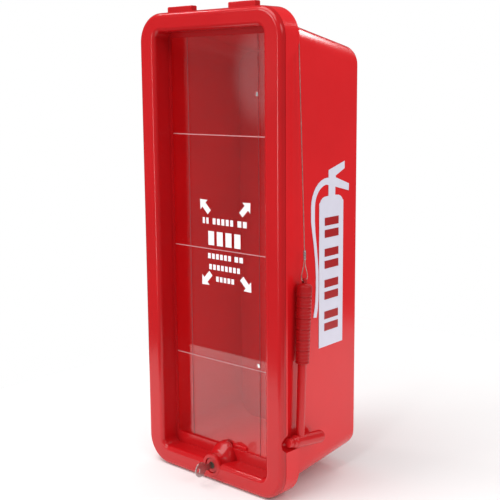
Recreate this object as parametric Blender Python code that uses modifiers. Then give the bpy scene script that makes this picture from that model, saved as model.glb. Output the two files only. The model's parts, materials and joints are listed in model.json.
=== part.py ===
"""Plastic wall cabinet for a fire extinguisher.

A drafted tub with a wide front rim carries a top-hinged door frame. The frame holds a clear scored break
panel and a cam lock at its bottom centre. A breaker hammer hangs on a steel wire in a channel beside the door.

Frame: +X to the right as seen from the front, the front faces -Y, the wall is the plane y = 0, and z = 0 is
halfway up the door. Metres.
"""
import math

import bmesh
import bpy
from mathutils import Matrix, Vector

# Driving dimensions
HEIGHT = 0.610
WIDTH = 0.245
DEPTH = 0.176
CORNER = 0.037              # outer corner radius of the door and of the rim
WALL = 0.0025               # moulded wall thickness
GAP = 0.0003                # clearance between touching pieces

# Depths behind the front plane
LIP = 0.008                 # back of the door's lip
RIM_FRONT = 0.0088
RIM_BACK = 0.0336
LEDGE = 0.0265              # front of the seat that the panel is screwed to
SEAT_BACK = LEDGE + WALL
PANEL_BACK = SEAT_BACK + GAP + 0.0025

# Tub outline where it leaves the rim, and at the wall
TUB_FRONT_X = 0.1128
TUB_FRONT_Z = (-0.2952, 0.2900)
TUB_BACK_X = 0.1055
TUB_BACK_Z = (-0.2817, 0.2621)
TUB_CORNER = 0.0257

# Door opening (reveal) and the window inside its ledge
OPEN_X = 0.094
OPEN_Z = (-0.2795, 0.281)
WINDOW_X = 0.0905
WINDOW_Z = (-0.264, 0.2745)
SEAT_X = 0.1065
SEAT_Z = (-0.2915, 0.2865)
PANEL_X = 0.103
PANEL_Z = (-0.2695, 0.2845)

# Hinge: two lugs on the door turn on pins held in the rim's knuckles
HINGE_DEPTH = 0.0145
HINGE_Z = 0.3045
LUG_X = 0.0534              # lug centre, left and right
LUG_WIDTH = 0.0438
LUG_TOP = 0.312
LUG_FRONT = 0.0090
LUG_BACK = 0.0180
KNUCKLE_WIDTH = 0.028
KNUCKLE_RADIUS = 0.004
PIN_RADIUS = 0.0015

# Lock
LOCK_Z = -0.2838
COLLAR_RADIUS = 0.0155
BOSS_FOOT = 0.0265           # boss radius at the panel's seat
BOSS_SIDE = 0.0215           # half width that its foot is trimmed to
BOSS_FACE = 0.0022
BARREL_RADIUS = 0.007
PLUG_RADIUS = 0.0045
CAM_DEPTH = 0.0363
CAM_THICKNESS = 0.0018
CAM_REACH = 0.0265

# Hammer and its tether
HAMMER_X = 0.1235
EYE_DEPTH = 0.0425
EYE_Z = -0.0255
HAMMER_TILT = math.radians(2.3)
SHAFT_RADIUS = 0.0055
HEAD_DROP = 0.2030          # eye to head axis, along the shaft
HEAD_RADIUS = 0.0080
HEAD_PITCH = math.radians(5.2)   # nose up from square to the shaft
HEAD_NOSE = 0.0230          # head length in front of the shaft
HEAD_TAIL = 0.0425          # head length behind the shaft
CHANNEL_X = 0.1129          # floor of the channel in the rim's right side
WIRE_RADIUS = 0.0006
EYE_RADIUS = 0.0019
ANCHOR_X = 0.1160
ANCHOR_Z = 0.2830
ANCHOR_RADIUS = 0.0013

RED = (0.55, 0.012, 0.016)
STEEL = (0.56, 0.57, 0.58)


def deep(distance):
    """World y of a point this far behind the front plane."""
    return distance - DEPTH


# Scene, materials and small helpers

def clear_scene():
    for item in list(bpy.data.objects):
        bpy.data.objects.remove(item, do_unlink=True)


def new_collection(name):
    made = bpy.data.collections.new(name)
    bpy.context.scene.collection.children.link(made)
    return made


def new_material(name, colour, roughness, metallic=0.0, alpha=1.0):
    made = bpy.data.materials.new(name)
    made.use_nodes = True
    shader = made.node_tree.nodes["Principled BSDF"]
    shader.inputs["Base Color"].default_value = (*colour, 1.0)
    shader.inputs["Roughness"].default_value = roughness
    shader.inputs["Metallic"].default_value = metallic
    shader.inputs["Alpha"].default_value = alpha
    return made


def make(name, data, material=None):
    """A part when it has a material, otherwise a cutter or a shape that another part takes in."""
    made = bpy.data.objects.new(name, data)
    if material:
        PARTS.objects.link(made)
        data.materials.append(new_material(name, *material))
    else:
        CUTTERS.objects.link(made)
        made.hide_render = True
        made.display_type = "WIRE"
    return made


def from_bmesh(name, bm, material=None):
    mesh = bpy.data.meshes.new(name)
    if bm.calc_volume(signed=True) < 0:
        bmesh.ops.reverse_faces(bm, faces=bm.faces[:])
    bm.to_mesh(mesh)
    bm.free()
    return make(name, mesh, material)


def block(name, x, y, z, material=None, rounding=0.0, segments=6, back=None, front_bevel=0.0):
    """Box between limits (low, high) on each axis. The edges along Y are rounded, the rear face can have
    its own x and z limits, and the front's outer edge can be bevelled."""
    bm = bmesh.new()
    bmesh.ops.create_cube(bm, size=1.0)
    for vert in bm.verts:
        at_back = vert.co.y > 0
        x_limits, z_limits = back if back and at_back else (x, z)
        vert.co = (x_limits[vert.co.x > 0], y[at_back], z_limits[vert.co.z > 0])
    if rounding:
        along = [e for e in bm.edges if abs(e.verts[0].co.y - e.verts[1].co.y) > 0.5 * (y[1] - y[0])]
        bmesh.ops.bevel(bm, geom=along, offset=rounding, segments=segments, affect="EDGES", profile=0.5)
    if front_bevel:
        front = [e for e in bm.edges if all(abs(v.co.y - y[0]) < 1e-6 for v in e.verts)]
        bmesh.ops.bevel(bm, geom=front, offset=front_bevel, segments=3, affect="EDGES", profile=0.5)
    return from_bmesh(name, bm, material)


def cylinder(name, radius, start, end, material=None, segments=24):
    """Round bar between two points."""
    start, end = Vector(start), Vector(end)
    bm = bmesh.new()
    bmesh.ops.create_cone(bm, cap_ends=True, segments=segments, radius1=radius, radius2=radius,
                          depth=(end - start).length)
    turn = Vector((0, 0, 1)).rotation_difference(end - start).to_matrix().to_4x4()
    bm.transform(Matrix.Translation((start + end) / 2) @ turn)
    return from_bmesh(name, bm, material)


def turned(name, origin, direction, profile, material=None, steps=20, closed=False):
    """Screw a profile of (radius, distance along direction) points, listed from the far end back."""
    mesh = bpy.data.meshes.new(name)
    edges = [(i, i + 1) for i in range(len(profile) - 1)]
    if closed:
        edges.append((len(profile) - 1, 0))
    mesh.from_pydata([(radius, 0.0, along) for radius, along in profile], edges, [])
    made = make(name, mesh, material)
    made.location = origin
    made.rotation_euler = Vector((0, 0, 1)).rotation_difference(Vector(direction)).to_euler()
    screw = made.modifiers.new("Turn", "SCREW")
    screw.steps = steps
    screw.render_steps = steps
    screw.use_merge_vertices = True
    screw.merge_threshold = 0.00005
    return made


def flat_solid(name, loops, thickness, place, material=None):
    """Flat outline with any holes, given as loops of 2D points, thickened about its own plane."""
    curve = bpy.data.curves.new(name, "CURVE")
    curve.dimensions = "2D"
    curve.fill_mode = "BOTH"
    curve.extrude = thickness / 2
    for loop in loops:
        spline = curve.splines.new("POLY")
        spline.points.add(len(loop) - 1)
        for point, (u, v) in zip(spline.points, loop):
            point.co = (u, v, 0.0, 1.0)
        spline.use_cyclic_u = True
    drawn = bpy.data.objects.new(name + "_outline", curve)
    drawn.matrix_world = place
    return as_mesh(name, drawn, material)


def as_mesh(name, drawn, material=None):
    """Replace a drawn curve by its welded mesh."""
    CUTTERS.objects.link(drawn)
    bpy.context.view_layer.update()
    seen = drawn.evaluated_get(bpy.context.evaluated_depsgraph_get())
    mesh = bpy.data.meshes.new_from_object(seen)
    mesh.materials.clear()
    bm = bmesh.new()
    bm.from_mesh(mesh)
    bmesh.ops.remove_doubles(bm, verts=bm.verts[:], dist=0.00001)
    bm.to_mesh(mesh)
    bm.free()
    made = make(name, mesh, material)
    made.matrix_world = drawn.matrix_world
    bpy.data.objects.remove(drawn, do_unlink=True)
    return made


def combine(target, tool, operation):
    boolean = target.modifiers.new(tool.name, "BOOLEAN")
    boolean.operation = operation
    boolean.solver = "EXACT"
    boolean.object = tool


def cut(target, *tools):
    for tool in tools:
        combine(target, tool, "DIFFERENCE")


def join(target, *tools):
    for tool in tools:
        combine(target, tool, "UNION")


def pivot(name, location, tilt=0.0):
    """Empty on a joint's axis, which carries the pieces that move together."""
    made = bpy.data.objects.new(name, None)
    PARTS.objects.link(made)
    made.location = location
    made.rotation_euler = (tilt, 0.0, 0.0)
    return made


def hang(axis, *pieces):
    """Carry pieces, drawn in world coordinates, on a joint's empty."""
    for piece in pieces:
        piece.parent = axis
        piece.matrix_parent_inverse = Matrix.Translation(-axis.location)


def arc(centre, radius, start, end, steps):
    """Points on an arc, angles in degrees."""
    points = []
    for i in range(steps + 1):
        angle = math.radians(start + (end - start) * i / steps)
        points.append((centre[0] + radius * math.cos(angle), centre[1] + radius * math.sin(angle)))
    return points


# Tub and rim

def tub_limits(depth, inset):
    """x and z limits of the drafted tub at a depth, moved inwards by an inset."""
    share = (depth - RIM_BACK) / (DEPTH - RIM_BACK)
    half = TUB_FRONT_X + (TUB_BACK_X - TUB_FRONT_X) * share - inset
    low = TUB_FRONT_Z[0] + (TUB_BACK_Z[0] - TUB_FRONT_Z[0]) * share + inset
    high = TUB_FRONT_Z[1] + (TUB_BACK_Z[1] - TUB_FRONT_Z[1]) * share - inset
    return (-half, half), (low, high)


def drafted_block(name, front, back, inset):
    x, z = tub_limits(front, inset)
    return block(name, x, (deep(front), deep(back)), z, rounding=TUB_CORNER - inset, segments=5,
                 back=tub_limits(back, inset))


def channel_tool():
    """The channel beside the door: its top runs out to the rim's back in a curve."""
    front, back = 0.0115, RIM_BACK + 0.006
    low, high = -0.2345, 0.262
    outline = [(back, low)]
    outline += arc((front + 0.009, low + 0.009), 0.009, 270, 180, 4)
    outline += arc((front + 0.026, high - 0.036), 0.026, 180, 118, 6)
    outline += [(RIM_BACK + 0.001, high), (back, high)]
    turn = Matrix(((0, 0, 1, 0), (1, 0, 0, 0), (0, 1, 0, 0), (0, 0, 0, 1)))
    reach = 0.020
    centre = Vector((CHANNEL_X + reach / 2, -DEPTH, 0.0))
    return flat_solid("channel_tool", [outline], reach, Matrix.Translation(centre) @ turn)


def socket_tool():
    """Round-ended socket for the hammer's nose, open to the side, to the channel and to the back."""
    radius, centre, end = 0.0112, 0.0125, RIM_BACK + 0.0012
    profile = [(0.0, end), (radius, end)]
    profile += [(radius * math.cos(math.radians(a)), centre - 0.0112 * math.sin(math.radians(a)))
                for a in range(0, 90, 15)]
    return turned("socket_tool", (HAMMER_X + 0.0002, deep(0.0), EYE_Z - HEAD_DROP + 0.0018), (0, 1, 0),
                  profile + [(0.0, centre - 0.0112)], steps=28)


def build_body():
    body = block("cabinet_body", (-WIDTH / 2, WIDTH / 2), (deep(RIM_FRONT), deep(RIM_BACK)),
                 (-HEIGHT / 2, HEIGHT / 2), material=(RED, 0.25), rounding=CORNER, segments=7)
    join(body, drafted_block("tub_form", RIM_BACK - 0.008, DEPTH, 0.0))
    cut(body, drafted_block("cavity_tool", RIM_FRONT - 0.004, DEPTH - WALL, WALL))
    cut(body, channel_tool(), SOCKET)
    for side, hand in ((-1, "left"), (1, "right")):
        centre = side * LUG_X
        half = LUG_WIDTH / 2 + 0.001
        recess = block("lug_recess_" + hand, (centre - half, centre + half),
                       (deep(RIM_FRONT - 0.002), deep(HINGE_DEPTH + 0.0105)), (HINGE_Z - 0.010, HINGE_Z + 0.01))
        knuckle = cylinder("knuckle_" + hand, KNUCKLE_RADIUS,
                           (centre - KNUCKLE_WIDTH / 2, deep(HINGE_DEPTH), HINGE_Z),
                           (centre + KNUCKLE_WIDTH / 2, deep(HINGE_DEPTH), HINGE_Z), segments=20)
        web = block("web_" + hand, (centre - KNUCKLE_WIDTH / 2, centre + KNUCKLE_WIDTH / 2),
                    (deep(HINGE_DEPTH - 0.0028), deep(HINGE_DEPTH + 0.0028)), (HINGE_Z - 0.0108, HINGE_Z - 0.001))
        cut(body, recess)
        join(body, web, knuckle)
        cut(body, pin_hole("knuckle_hole_" + hand, centre, KNUCKLE_WIDTH / 2 + 0.001))
    cut(body, cylinder("anchor_hole", ANCHOR_RADIUS + GAP, (ANCHOR_X, deep(RIM_BACK - 0.0085), ANCHOR_Z),
                       (ANCHOR_X, deep(RIM_BACK + 0.001), ANCHOR_Z), segments=12))
    for index, (x, z) in enumerate(WALL_HOLES):
        cut(body, cylinder(f"wall_hole_{index}", 0.0035, (x, -WALL - 0.002, z), (x, 0.002, z), segments=16))
    for index, x in enumerate(RIVET_X):
        z = floor_height(RIVET_DEPTH)
        cut(body, cylinder(f"rivet_hole_{index}", 0.0018, (x, deep(RIVET_DEPTH), z - 0.006),
                           (x, deep(RIVET_DEPTH), z + 0.004), segments=12))
    return body


def pin_hole(name, centre, half):
    return cylinder(name, PIN_RADIUS + GAP, (centre - half, deep(HINGE_DEPTH), HINGE_Z),
                    (centre + half, deep(HINGE_DEPTH), HINGE_Z), segments=16)


def floor_height(depth):
    """Height of the tub's floor at a depth."""
    return tub_limits(depth, WALL)[1][0]


# Door

def build_door():
    door = block("door_frame", (-WIDTH / 2, WIDTH / 2), (deep(0.0), deep(LIP)), (-HEIGHT / 2, HEIGHT / 2),
                 material=(RED, 0.25), rounding=CORNER, segments=7, front_bevel=0.006)
    skin = WALL
    reveal = block("reveal_form", (-OPEN_X - skin, OPEN_X + skin), (deep(0.003), deep(SEAT_BACK)),
                   (OPEN_Z[0] - skin, OPEN_Z[1] + skin), rounding=0.0125, segments=4)
    seat = block("seat_form", (-SEAT_X, SEAT_X), (deep(LEDGE), deep(SEAT_BACK)), SEAT_Z, rounding=0.018,
                 segments=4)
    join(door, reveal, seat)
    entry = 0.004
    cut(door,
        block("opening_tool", (-OPEN_X, OPEN_X), (deep(-0.002), deep(LEDGE)), OPEN_Z, rounding=0.010,
              segments=4),
        block("entry_tool", (-OPEN_X - entry, OPEN_X + entry), (deep(-0.0001), deep(entry)),
              (OPEN_Z[0] - entry, OPEN_Z[1] + entry), rounding=0.012, segments=4,
              back=((-OPEN_X, OPEN_X), OPEN_Z)),
        block("window_tool", (-WINDOW_X, WINDOW_X), (deep(0.02), deep(SEAT_BACK + 0.002)), WINDOW_Z,
              rounding=0.008, segments=3))
    core_front = 0.0032
    core_inner, core_outer = OPEN_X + skin + 0.0035, WIDTH / 2 - 0.0065
    cores = [((core_inner, core_outer), (-0.190, 0.250)), ((-core_outer, -core_inner), (-0.250, 0.250)),
             ((-0.030, 0.030), (0.2865, 0.2985)),
             ((0.022, 0.080), (-0.2985, -0.2865)), ((-0.080, -0.022), (-0.2985, -0.2865))]
    for index, (x, z) in enumerate(cores):
        cut(door, block(f"core_{index}", x, (deep(core_front), deep(LIP + 0.002)), z))
    build_lock_boss(door)
    for side, hand in ((-1, "left"), (1, "right")):
        build_lug(door, side * LUG_X, hand)
    cut(door, SOCKET)
    for index, (x, z) in enumerate(SCREW_PLACES):
        cut(door, cylinder(f"seat_hole_{index}", 0.0016, (x, deep(LEDGE - 0.002), z),
                           (x, deep(SEAT_BACK + 0.002), z), segments=10))
    return door


def build_lock_boss(door):
    """Drafted boss that grows from the lock's collar to the panel's seat."""
    boss = turned("boss_form", (0, deep(0.0), LOCK_Z), (0, 1, 0),
                  [(0.0, SEAT_BACK), (BOSS_FOOT, SEAT_BACK), (BOSS_FOOT, SEAT_BACK - 0.0015),
                   (COLLAR_RADIUS + 0.0008, LIP), (COLLAR_RADIUS, 0.0003), (COLLAR_RADIUS - 0.0009, -0.0006),
                   (0.0, -0.0006)], steps=28)
    cut(boss, block("boss_trim", (-0.03, 0.03), (deep(LIP), deep(0.04)), (-0.32, SEAT_Z[0])))
    for name, x in (("left", (-0.03, -BOSS_SIDE)), ("right", (BOSS_SIDE, 0.03))):
        cut(boss, block("boss_side_" + name, x, (deep(LIP), deep(0.04)), (-0.32, -0.24)))
    join(door, boss)
    cut(door, cylinder("boss_face_tool", 0.0106, (0, deep(-0.002), LOCK_Z),
                       (0, deep(BOSS_FACE), LOCK_Z), segments=24))
    cut(door, cylinder("barrel_hole", BARREL_RADIUS + 0.0004, (0, deep(-0.002), LOCK_Z),
                       (0, deep(0.04), LOCK_Z), segments=24))


def build_lug(door, centre, hand):
    """Hooded lug that stands on the lip's top: two round-backed cheeks with a front wall and a cover over the
    rim's knuckle."""
    half = LUG_WIDTH / 2
    lug = block("lug_" + hand, (centre - half, centre + half), (deep(LUG_FRONT), deep(HINGE_DEPTH)),
                (HINGE_Z - KNUCKLE_RADIUS, LUG_TOP - 0.001))
    join(lug, block("lug_hood_" + hand, (centre - half, centre + half), (deep(LUG_FRONT), deep(LUG_BACK)),
                    (HINGE_Z, LUG_TOP)),
         cylinder("lug_back_" + hand, KNUCKLE_RADIUS, (centre - half, deep(HINGE_DEPTH), HINGE_Z),
                  (centre + half, deep(HINGE_DEPTH), HINGE_Z), segments=20),
         block("lug_root_" + hand, (centre - half, centre + half), (deep(LIP - 0.002), deep(LUG_FRONT + 0.0008)),
               (HINGE_Z - 0.0062, HINGE_Z + 0.0002)))
    join(door, lug)
    slot = KNUCKLE_WIDTH / 2 + 0.0005
    cut(door, block("lug_slot_" + hand, (centre - slot, centre + slot), (deep(LUG_FRONT + 0.0010), deep(0.03)),
                    (HINGE_Z - 0.010, HINGE_Z + KNUCKLE_RADIUS + 0.0006)))
    cut(door, pin_hole("lug_hole_" + hand, centre, half + 0.001))


def build_panel():
    panel = block("break_panel", (-PANEL_X, PANEL_X), (deep(SEAT_BACK + GAP), deep(PANEL_BACK)), PANEL_Z,
                  material=((0.85, 0.9, 0.9), 0.05, 0.0, 0.3), rounding=0.016, segments=4)
    pieces = [panel]
    for index, (x, z) in enumerate(SCREW_PLACES):
        cut(panel, cylinder(f"panel_hole_{index}", 0.0017, (x, deep(SEAT_BACK - 0.002), z),
                            (x, deep(PANEL_BACK + 0.002), z), segments=10))
        pieces.append(turned(f"panel_screw_{index + 1}", (x, deep(PANEL_BACK + GAP), z), (0, 1, 0),
                             [(0.0, 0.0018), (0.0018, 0.0016), (0.0029, 0.0007), (0.0029, 0.0),
                              (0.0013, 0.0), (0.0013, -0.0072), (0.0, -0.0085)],
                             material=(STEEL, 0.35, 1.0), steps=12))
    return pieces


def build_pins():
    for side, hand in ((-1, "left"), (1, "right")):
        half = LUG_WIDTH / 2 - 0.0003
        cylinder("hinge_pin_" + hand, PIN_RADIUS, (side * LUG_X - half, deep(HINGE_DEPTH), HINGE_Z),
                 (side * LUG_X + half, deep(HINGE_DEPTH), HINGE_Z), material=(STEEL, 0.3, 1.0), segments=12)


# Lock

def build_lock():
    """Barrel and nut on the door; returns those, then the pieces that turn, then the key."""
    front = (0, 1, 0)
    face = deep(0.0)
    bore = PLUG_RADIUS + GAP
    barrel = turned("lock_barrel", (0, face, LOCK_Z), front,
                    [(bore, 0.0345), (BARREL_RADIUS, 0.0345), (BARREL_RADIUS, BOSS_FACE - GAP),
                     (0.0100, BOSS_FACE - GAP), (0.0100, 0.0009), (0.0094, 0.0004), (bore, 0.0004)],
                    material=(RED, 0.3), steps=24, closed=True)
    flats = [(0.008 / math.cos(math.radians(30)) * math.cos(math.radians(a)),
              0.008 / math.cos(math.radians(30)) * math.sin(math.radians(a))) for a in range(0, 360, 60)]
    hole = arc((0, 0), BARREL_RADIUS + GAP, 0, 345, 23)
    nut = flat_solid("lock_nut", [flats, hole], 0.0035, facing_front(0, SEAT_BACK + GAP + 0.00175, LOCK_Z),
                     material=(STEEL, 0.35, 1.0))
    plug = turned("lock_plug", (0, face, LOCK_Z), front,
                  [(0.0, 0.0360), (PLUG_RADIUS, 0.0360), (PLUG_RADIUS, 0.0010), (0.0040, 0.0005),
                   (0.0, 0.0005)], material=(STEEL, 0.3, 1.0), steps=20)
    tang = 0.0028
    join(plug, block("tang_form", (-tang, tang), (deep(0.034), deep(CAM_DEPTH + CAM_THICKNESS + 0.0003)),
                     (LOCK_Z - tang, LOCK_Z + tang)))
    cut(plug, block("keyway_tool", (-0.0009, 0.0009), (deep(-0.002), deep(0.024)),
                    (LOCK_Z - 0.0034, LOCK_Z + 0.0034)),
        cylinder("cam_thread_tool", 0.0018, (0, deep(0.0310), LOCK_Z), (0, deep(0.045), LOCK_Z), segments=12))
    square = tang + GAP
    hub = arc((0, 0), 0.007, 180, 360, 10)
    tip = arc((0, CAM_REACH - 0.005), 0.005, 0, 180, 8)
    hole = [(-square, -square), (square, -square), (square, square), (-square, square)]
    cam = flat_solid("lock_cam", [hub + tip, hole], CAM_THICKNESS,
                     facing_front(0, CAM_DEPTH + CAM_THICKNESS / 2, LOCK_Z), material=(RED, 0.35))
    head = CAM_DEPTH + CAM_THICKNESS + 0.0006
    screw = turned("cam_screw", (0, deep(head), LOCK_Z), front,
                   [(0.0, 0.0020), (0.0024, 0.0018), (0.0037, 0.0008), (0.0037, 0.0), (0.0015, 0.0),
                    (0.0015, -0.0060), (0.0, -0.0066)], material=(STEEL, 0.35, 1.0), steps=14)
    return [barrel, nut], [plug, cam, screw], [build_key()]


def facing_front(x, depth, z):
    """Places a flat outline upright, its u along +X and its v along +Z."""
    return Matrix.Translation((x, deep(depth), z)) @ Matrix.Rotation(math.radians(90), 4, "X")


def build_key():
    """Round bow with a ring hole, and a blade in the keyway; the whole key stands in the plane x = 0."""
    bow, blade = 0.0100, 0.0029
    centre = -0.0200
    outline = arc((centre, 0), bow, 18, 342, 22)
    outline += [(-0.0085, -0.0045), (-0.0020, -0.0045), (-0.0005, -blade), (0.0195, -blade),
                (0.0215, -0.0006), (0.0195, 0.0014), (0.0170, 0.0006), (0.0140, 0.0020), (0.0110, 0.0008),
                (0.0080, 0.0024), (0.0050, 0.0012), (0.0020, blade), (-0.0005, blade), (-0.0020, 0.0045),
                (-0.0085, 0.0045)]
    ring = arc((centre - 0.0045, 0), 0.0026, 0, 330, 11)
    turn = Matrix(((0, 0, 1, 0), (1, 0, 0, 0), (0, 1, 0, 0), (0, 0, 0, 1)))
    return flat_solid("key", [outline, ring], 0.0011, Matrix.Translation((0, deep(0.0), LOCK_Z)) @ turn,
                      material=(STEEL, 0.3, 1.0))


def build_strike():
    """Bent plate on the tub's floor; the cam turns in behind its upright."""
    front, back, thickness = 0.0335, 0.0490, 0.0020
    low_front, low_back = floor_height(front) + GAP, floor_height(back) + GAP
    top = LOCK_Z + 0.0235
    outline = [(front, low_front), (back, low_back), (back, low_back + thickness),
               (front + thickness, floor_height(front + thickness) + GAP + thickness),
               (front + thickness, top), (front, top)]
    turn = Matrix(((0, 0, 1, 0), (1, 0, 0, 0), (0, 1, 0, 0), (0, 0, 0, 1)))
    centre = sum(RIVET_X) / 2
    plate = flat_solid("strike_bracket", [outline], 0.022, Matrix.Translation((centre, -DEPTH, 0)) @ turn,
                       material=(RED, 0.3))
    for index, x in enumerate(RIVET_X):
        seat = floor_height(RIVET_DEPTH) + GAP + thickness
        cut(plate, cylinder(f"strike_hole_{index}", 0.0018, (x, deep(RIVET_DEPTH), seat - 0.006),
                            (x, deep(RIVET_DEPTH), seat + 0.003), segments=12))
        turned(f"strike_rivet_{index + 1}", (x, deep(RIVET_DEPTH), seat + 0.0006), (0, 0, 1),
               [(0.0, 0.0014), (0.0016, 0.0012), (0.0027, 0.0004), (0.0027, 0.0), (0.0014, 0.0),
                (0.0014, -0.0048), (0.0, -0.0048)], material=(STEEL, 0.35, 1.0), steps=12)


# Hammer and tether

def build_hammer(axis):
    """Grip, shaft and head in the hammer's own frame: the eye is the origin and the shaft runs down -Z."""
    grip_top, grip_end = -0.0028, -0.1035
    profile = [(0.0, 0.0042), (0.0022, 0.0038), (0.0032, 0.0026), (0.0032, grip_top), (0.0070, grip_top - 0.0008),
               (0.0092, grip_top - 0.0026), (0.0100, grip_top - 0.0060)]
    bands = 7
    for index in range(bands):
        z = grip_top - 0.0115 - index * 0.0135
        radius = 0.0100 - 0.0012 * index / (bands - 1)
        profile += [(radius, z + 0.0012), (radius - 0.0009, z + 0.0004), (radius - 0.0009, z - 0.0004),
                    (radius, z - 0.0012)]
    bore = SHAFT_RADIUS + GAP
    profile += [(0.0086, grip_end + 0.0030), (0.0076, grip_end), (bore, grip_end), (bore, -0.0285), (0.0, -0.0285)]
    grip = turned("hammer_grip", (0, 0, 0), (0, 0, 1), profile, material=(RED, 0.35), steps=20)
    cut(grip, cylinder("eye_tool", EYE_RADIUS, (HAMMER_X, deep(EYE_DEPTH) - 0.02, EYE_Z),
                       (HAMMER_X, deep(EYE_DEPTH) + 0.02, EYE_Z), segments=12))
    end = -HEAD_DROP - 0.0035
    shaft = turned("hammer_shaft", (0, 0, 0), (0, 0, 1),
                   [(0.0, -0.0290), (0.0048, -0.0290), (SHAFT_RADIUS, -0.0300), (SHAFT_RADIUS, end), (0.0, end)],
                   material=(RED, 0.3), steps=18)
    head = turned("hammer_head", (0, 0, -HEAD_DROP), (0, -math.cos(HEAD_PITCH), math.sin(HEAD_PITCH)),
                  [(0.0, HEAD_NOSE), (0.0046, HEAD_NOSE), (0.0058, HEAD_NOSE - 0.0010),
                   (0.0058, HEAD_NOSE - 0.0040), (0.0050, HEAD_NOSE - 0.0048), (0.0050, HEAD_NOSE - 0.0060),
                   (0.0068, HEAD_NOSE - 0.0068), (0.0068, HEAD_NOSE - 0.0100), (HEAD_RADIUS, HEAD_NOSE - 0.0125),
                   (HEAD_RADIUS, 0.0020 - HEAD_TAIL), (HEAD_RADIUS - 0.0016, -HEAD_TAIL), (0.0, -HEAD_TAIL)],
                  material=(RED, 0.3), steps=24)
    bore_top = (HAMMER_X, deep(EYE_DEPTH), EYE_Z)
    down = Vector((0, -math.sin(HAMMER_TILT), -math.cos(HAMMER_TILT)))
    start = Vector(bore_top) + down * (HEAD_DROP - 0.012)
    stop = Vector(bore_top) + down * (HEAD_DROP + 0.0035 + GAP)
    cut(head, cylinder("shaft_bore", bore, start, stop, segments=18))
    for piece in (grip, shaft, head):
        piece.parent = axis


def smooth_path(route, count):
    """Evenly spaced points on a Catmull-Rom curve through a route."""
    points = [Vector(p) for p in route]
    points = [2 * points[0] - points[1]] + points + [2 * points[-1] - points[-2]]
    fine = []
    for a, b, c, d in zip(points, points[1:], points[2:], points[3:]):
        for i in range(40):
            t = i / 40
            fine.append(0.5 * (2 * b + (c - a) * t + (2 * a - 5 * b + 4 * c - d) * t ** 2
                               + (3 * b - a - 3 * c + d) * t ** 3))
    fine.append(points[-2])
    spans = [0.0]
    for a, b in zip(fine, fine[1:]):
        spans.append(spans[-1] + (b - a).length)
    even, at = [], 0
    for i in range(count):
        goal = spans[-1] * i / (count - 1)
        while at < len(spans) - 2 and spans[at + 1] < goal:
            at += 1
        share = (goal - spans[at]) / (spans[at + 1] - spans[at])
        even.append(fine[at].lerp(fine[at + 1], share))
    return even


def wire(name, route, count):
    curve = bpy.data.curves.new(name, "CURVE")
    curve.dimensions = "3D"
    curve.bevel_depth = WIRE_RADIUS
    curve.bevel_resolution = 2
    curve.use_fill_caps = True
    spline = curve.splines.new("POLY")
    points = smooth_path(route, count)
    spline.points.add(len(points) - 1)
    for point, place in zip(spline.points, points):
        point.co = (*place, 1.0)
    return make(name, curve, (STEEL, 0.25, 1.0))


def build_tether():
    """Anchor sunk in the back of the rim; wire, ferrule and loop that swing together."""
    end = RIM_BACK - GAP
    turned("tether_anchor", (ANCHOR_X, deep(end), ANCHOR_Z), (0, 1, 0),
           [(0.0, 0.0), (ANCHOR_RADIUS, 0.0), (ANCHOR_RADIUS, -0.0070), (0.0, -0.0070)],
           material=(STEEL, 0.35, 1.0), steps=12)
    ferrule_top, ferrule_end = 0.0135, 0.0015
    eye_y, start = deep(EYE_DEPTH), Vector((ANCHOR_X, deep(end + GAP), ANCHOR_Z))
    foot = Vector((HAMMER_X, eye_y, ferrule_top + GAP))
    bend = Vector((0.1188, deep(0.0371), 0.2700))
    route = [start, start + Vector((0.0002, 0.0018, -0.0003)), start + Vector((0.0010, 0.0031, -0.0027)),
             start + Vector((0.0020, 0.0036, -0.0070)), bend]
    route += [bend.lerp(foot, share) for share in (0.2, 0.4, 0.6, 0.8, 1.0)]
    cord = wire("tether_wire", route, 76)
    ferrule = turned("tether_ferrule", (HAMMER_X, eye_y, 0.0), (0, 0, 1),
                     [(0.0, ferrule_top), (0.0013, ferrule_top), (0.0020, ferrule_top - 0.0010),
                      (0.0020, ferrule_end + 0.0010), (0.0017, ferrule_end), (0.0, ferrule_end)],
                     material=(STEEL, 0.35, 1.0), steps=14)
    half, top = 0.0057, ferrule_end - GAP
    shoulder = EYE_Z + half
    side = [(0.0008, top), (0.0012, top - 0.0025)]
    for share in (0.25, 0.5, 0.75):
        blend = 0.5 - 0.5 * math.cos(math.pi * share)
        side.append((0.0012 + (half - 0.0012) * blend, top - 0.0025 + (shoulder - top + 0.0025) * share))
    side += [(half * math.cos(math.radians(a)), shoulder - half * math.sin(math.radians(a)))
             for a in (0, 30, 60)]
    loop = [(HAMMER_X, eye_y - w, z) for w, z in side] + [(HAMMER_X, eye_y, EYE_Z)]
    loop += [(HAMMER_X, eye_y + w, z) for w, z in reversed(side)]
    return [cord, ferrule, wire("tether_loop", loop, 36)]


# Decal

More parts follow.
